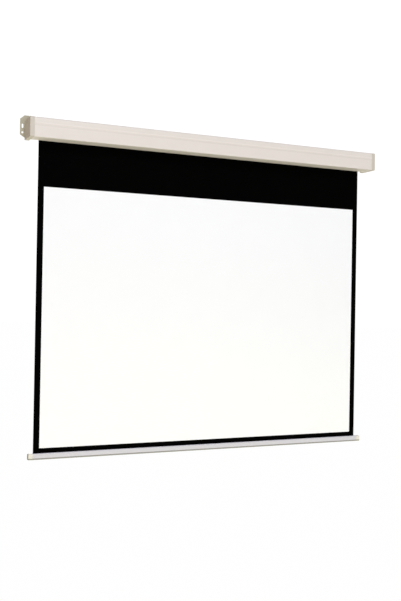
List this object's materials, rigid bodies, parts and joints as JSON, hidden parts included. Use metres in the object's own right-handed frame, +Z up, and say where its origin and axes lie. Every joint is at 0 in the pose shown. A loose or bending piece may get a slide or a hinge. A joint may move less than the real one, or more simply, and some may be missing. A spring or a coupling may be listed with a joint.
{
  "type": "projector screen",
  "caption": "Motorised roll-down projector screen in a wall case, with a black-bordered white fabric, a bottom bar and slotted wall ears.",
  "frame": {"origin": "middle of the case's back face, which lies on the wall", "axes": "+X to the right seen from the front, +Y into the wall, +Z up"},
  "size_m": [1.743, 0.101, 1.4367],
  "materials": {
    "case_coat": "warm white powder coat, fine texture",
    "cap_plastic": "warm light grey moulding",
    "bracket_coat": "cream coated steel",
    "plate_steel": "zinc-plated steel",
    "screw_steel": "nickel-plated steel",
    "black_plastic": "black moulding",
    "grey_plastic": "grey moulding",
    "limit_plastic": "yellow moulding",
    "roller_aluminium": "plain extruded aluminium",
    "screen_white": "matte white coated cloth",
    "screen_black": "matte black coated cloth",
    "bar_coat": "cool white satin coat",
    "bar_cap_plastic": "cool white moulding"
  },
  "bodies": {
    "case": {"case_profile": "case_coat", "end_cap_left": "cap_plastic", "end_cap_right": "cap_plastic", "wall_bracket_left": "bracket_coat", "wall_bracket_right": "bracket_coat", "idler_bracket": "plate_steel", "motor_bracket": "plate_steel", "cable_gland": "black_plastic", "cap_screw_left_1": "screw_steel", "cap_screw_left_2": "screw_steel", "cap_screw_left_3": "screw_steel", "cap_screw_left_4": "screw_steel", "cap_screw_right_1": "screw_steel", "cap_screw_right_2": "screw_steel", "cap_screw_right_3": "screw_steel", "cap_screw_right_4": "screw_steel", "wall_bracket_screw_left_1": "screw_steel", "wall_bracket_screw_left_2": "screw_steel", "wall_bracket_screw_right_1": "screw_steel", "wall_bracket_screw_right_2": "screw_steel", "plate_screw_left_1": "screw_steel", "plate_screw_left_2": "screw_steel", "plate_screw_right_1": "screw_steel", "plate_screw_right_2": "screw_steel", "idler_bush": "black_plastic", "motor_tube": "plate_steel", "motor_head": "black_plastic", "screen_fabric": "screen_white"},
    "roller": {"idler_pin": "plate_steel", "idler_plug": "grey_plastic", "roller_tube": "roller_aluminium", "top_keder": "grey_plastic", "fabric_roll": "screen_black", "crown_ring": "grey_plastic", "drive_wheel": "grey_plastic", "shaft_clip": "plate_steel", "motor_shaft": "plate_steel"},
    "bottom_bar": {"bar_profile": "bar_coat", "bar_cap_left": "bar_cap_plastic", "bar_cap_right": "bar_cap_plastic", "weight_rod": "plate_steel", "hem_rod": "grey_plastic", "bar_cap_screw_left": "screw_steel", "bar_cap_screw_right": "screw_steel"},
    "limit_up": {"limit_screw_up": "limit_plastic"},
    "limit_down": {"limit_screw_down": "limit_plastic"}
  },
  "joints": [
    {"name": "roller_spin", "type": "hinge", "parent": "case", "child": "roller", "pos_m": [0, -0.0534, 0], "axis": [1, 0, 0], "range_deg": [0, 2669]},
    {"name": "bar_lift", "type": "slide", "parent": "case", "child": "bottom_bar", "axis": [0, 0, 1], "range_m": [0, 1.3045], "deforming": ["screen_fabric"]},
    {"name": "limit_up_turn", "type": "hinge", "parent": "case", "child": "limit_up", "pos_m": [0.8445, -0.06539, -0.01499], "axis": [1, 0, 0], "continuous": true},
    {"name": "limit_down_turn", "type": "hinge", "parent": "case", "child": "limit_down", "pos_m": [0.8445, -0.04141, -0.01499], "axis": [1, 0, 0], "continuous": true}
  ],
  "couplings": [
    {"joint": "bar_lift", "follows": "roller_spin", "m_per_rad": 0.028}
  ]
}
